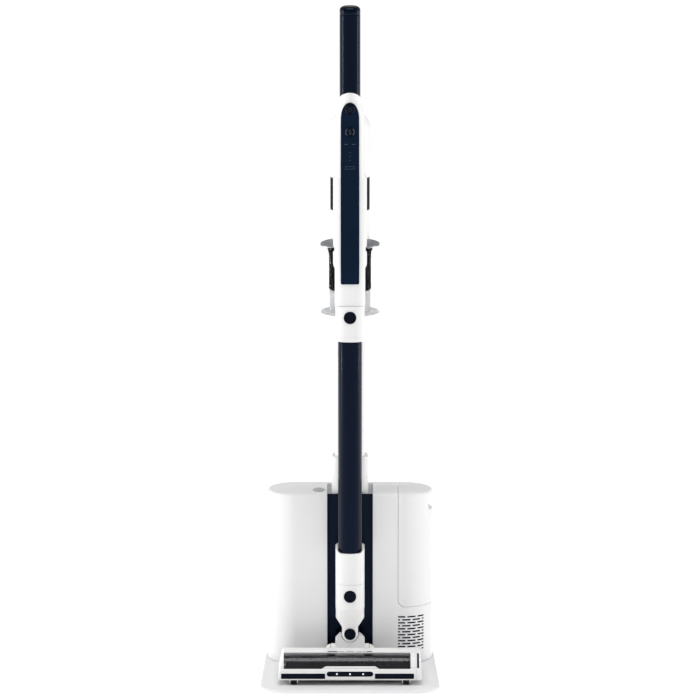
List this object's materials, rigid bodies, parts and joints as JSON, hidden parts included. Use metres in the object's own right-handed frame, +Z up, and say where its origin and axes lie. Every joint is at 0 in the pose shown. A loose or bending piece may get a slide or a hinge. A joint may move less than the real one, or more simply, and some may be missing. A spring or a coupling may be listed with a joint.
{
  "type": "cordless stick vacuum",
  "caption": "Cordless stick vacuum with a clear dust cup, standing in front of a self-emptying dock with a base plate.",
  "frame": {"origin": "under the middle of the dock's base plate, on the floor", "axes": "+X to the vacuum's right as seen from its front, +Y to the back, +Z up"},
  "size_m": [0.297, 0.285, 1.1175],
  "materials": {
    "shell_white": "white satin moulding",
    "base_pale": "pale fine-grained moulding",
    "strip_navy": "glossy dark navy",
    "panel_navy": "glossy dark navy",
    "panel_button": "black with a pale ring",
    "button_black": "black satin",
    "button_grey": "grey satin",
    "tube_black": "glossy black lacquer",
    "vent_dark": "dark moulded grille",
    "lid_grey": "metallic grey plastic",
    "clear_plastic": "clear plastic",
    "core_black": "black with fine mesh",
    "inner_grey": "light grey moulding",
    "window_smoke": "smoked clear plastic",
    "roller_brush": "dark pile",
    "light_black": "glossy black with small lamps",
    "rubber_dark": "soft matt black",
    "wheel_grey": "dark grey",
    "motor_metal": "drawn case",
    "pin_steel": "ground steel",
    "filter_cloth": "pleated filter medium",
    "bag_cloth": "white non-woven cloth",
    "card": "brown card"
  },
  "bodies": {
    "dock": {"base_plate": "base_pale", "foot_1": "rubber_dark", "foot_2": "rubber_dark", "foot_3": "rubber_dark", "foot_4": "rubber_dark", "station_shell": "shell_white", "door_seal": "rubber_dark", "front_strip": "strip_navy", "rear_pole": "shell_white", "pole_socket": "shell_white", "port_seal": "rubber_dark", "charge_contacts": "button_black", "dust_duct": "inner_grey", "bag_collar": "card", "dust_bag": "bag_cloth", "dock_fan": "inner_grey", "exhaust_filter": "filter_cloth", "power_inlet": "button_black"},
    "door": {"side_door": "shell_white"},
    "dock_button": {"top_button": "button_grey"},
    "stick": {"wand_tube": "tube_black", "tube_collar": "shell_white", "neck_collar": "shell_white", "neck_base": "shell_white", "swivel_pin": "button_black", "front_spine": "shell_white", "control_panel": "panel_navy", "grip_tube": "tube_black", "grip_cap": "tube_black", "upper_housing": "shell_white", "lower_housing": "shell_white", "vent_left": "vent_dark", "vent_right": "vent_dark", "fan_motor": "motor_metal", "motor_filter": "filter_cloth", "battery_pack": "inner_grey"},
    "cup": {"cup_lid": "lid_grey", "dust_cup": "clear_plastic", "cup_base": "lid_grey", "cyclone_core": "core_black", "inner_cyclone": "inner_grey"},
    "flap": {"emptying_flap": "rubber_dark"},
    "wand_key": {"wand_release": "button_black"},
    "neck_key": {"neck_release": "button_black"},
    "power_key": {"power_button": "panel_button"},
    "mode_key": {"mode_button": "panel_button"},
    "yoke": {"yoke": "shell_white"},
    "head": {"head_shell": "shell_white", "head_cap": "shell_white", "head_window": "window_smoke", "brush_motor": "motor_metal", "light_bar": "light_black", "bumper_left": "rubber_dark", "bumper_right": "rubber_dark", "hinge_pin": "pin_steel"},
    "roller": {"brush_roller": "roller_brush"},
    "front_wheel_left": {"wheel_1": "wheel_grey"},
    "front_wheel_right": {"wheel_2": "wheel_grey"},
    "rear_wheel_left": {"wheel_3": "wheel_grey"},
    "rear_wheel_right": {"wheel_4": "wheel_grey"}
  },
  "joints": [
    {"name": "lift_off", "type": "slide", "parent": "dock", "child": "stick", "axis": [0, 0, 1], "range_m": [0, 0.3]},
    {"name": "head_swivel", "type": "hinge", "parent": "stick", "child": "yoke", "pos_m": [0, -0.007, 0.07], "axis": [0, 1, 0], "range_deg": [-35, 35]},
    {"name": "head_pitch", "type": "hinge", "parent": "yoke", "child": "head", "pos_m": [0, -0.007, 0.038], "axis": [1, 0, 0], "range_deg": [0, 80]},
    {"name": "cup_slide", "type": "slide", "parent": "stick", "child": "cup", "axis": [0, 1, 0], "range_m": [0, 0.12]},
    {"name": "flap_hinge", "type": "hinge", "parent": "cup", "child": "flap", "pos_m": [0, 0.0652, 0.6008], "axis": [1, 0, 0], "range_deg": [0, 75], "stiffness_Nm_per_rad": 0.005, "springref_deg": -17.19},
    {"name": "door_hinge", "type": "hinge", "parent": "dock", "child": "door", "pos_m": [0.1375, 0.068, 0.1052], "axis": [0, 1, 0], "range_deg": [0, 35]},
    {"name": "dock_button_press", "type": "slide", "parent": "dock", "child": "dock_button", "axis": [0, 0, -1], "range_m": [0, 0.0015], "stiffness_N_per_m": 400, "springref_m": -0.0005},
    {"name": "wand_release_press", "type": "slide", "parent": "stick", "child": "wand_key", "axis": [0, 1, 0], "range_m": [0, 0.0012], "stiffness_N_per_m": 400, "springref_m": -0.0005},
    {"name": "neck_release_press", "type": "slide", "parent": "stick", "child": "neck_key", "axis": [0, 1, 0], "range_m": [0, 0.0012], "stiffness_N_per_m": 400, "springref_m": -0.0005},
    {"name": "power_press", "type": "slide", "parent": "stick", "child": "power_key", "axis": [0, 1, 0], "range_m": [0, 0.001], "stiffness_N_per_m": 400, "springref_m": -0.0005},
    {"name": "mode_press", "type": "slide", "parent": "stick", "child": "mode_key", "axis": [0, 1, 0], "range_m": [0, 0.001], "stiffness_N_per_m": 400, "springref_m": -0.0005},
    {"name": "roller_spin", "type": "hinge", "parent": "head", "child": "roller", "pos_m": [0, -0.086, 0.0295], "axis": [1, 0, 0], "continuous": true},
    {"name": "front_wheel_left_spin", "type": "hinge", "parent": "head", "child": "front_wheel_left", "pos_m": [-0.0925, -0.109, 0.0131], "axis": [1, 0, 0], "continuous": true},
    {"name": "front_wheel_right_spin", "type": "hinge", "parent": "head", "child": "front_wheel_right", "pos_m": [0.0925, -0.109, 0.0131], "axis": [1, 0, 0], "continuous": true},
    {"name": "rear_wheel_left_spin", "type": "hinge", "parent": "head", "child": "rear_wheel_left", "pos_m": [-0.07, -0.03, 0.0163], "axis": [1, 0, 0], "continuous": true},
    {"name": "rear_wheel_right_spin", "type": "hinge", "parent": "head", "child": "rear_wheel_right", "pos_m": [0.07, -0.03, 0.0163], "axis": [1, 0, 0], "continuous": true}
  ],
  "couplings": [
    {"joint": "head_pitch", "follows": "lift_off", "rad_per_m": 4.65},
    {"joint": "head_swivel", "follows": "lift_off", "rad_per_m": 2.03}
  ]
}
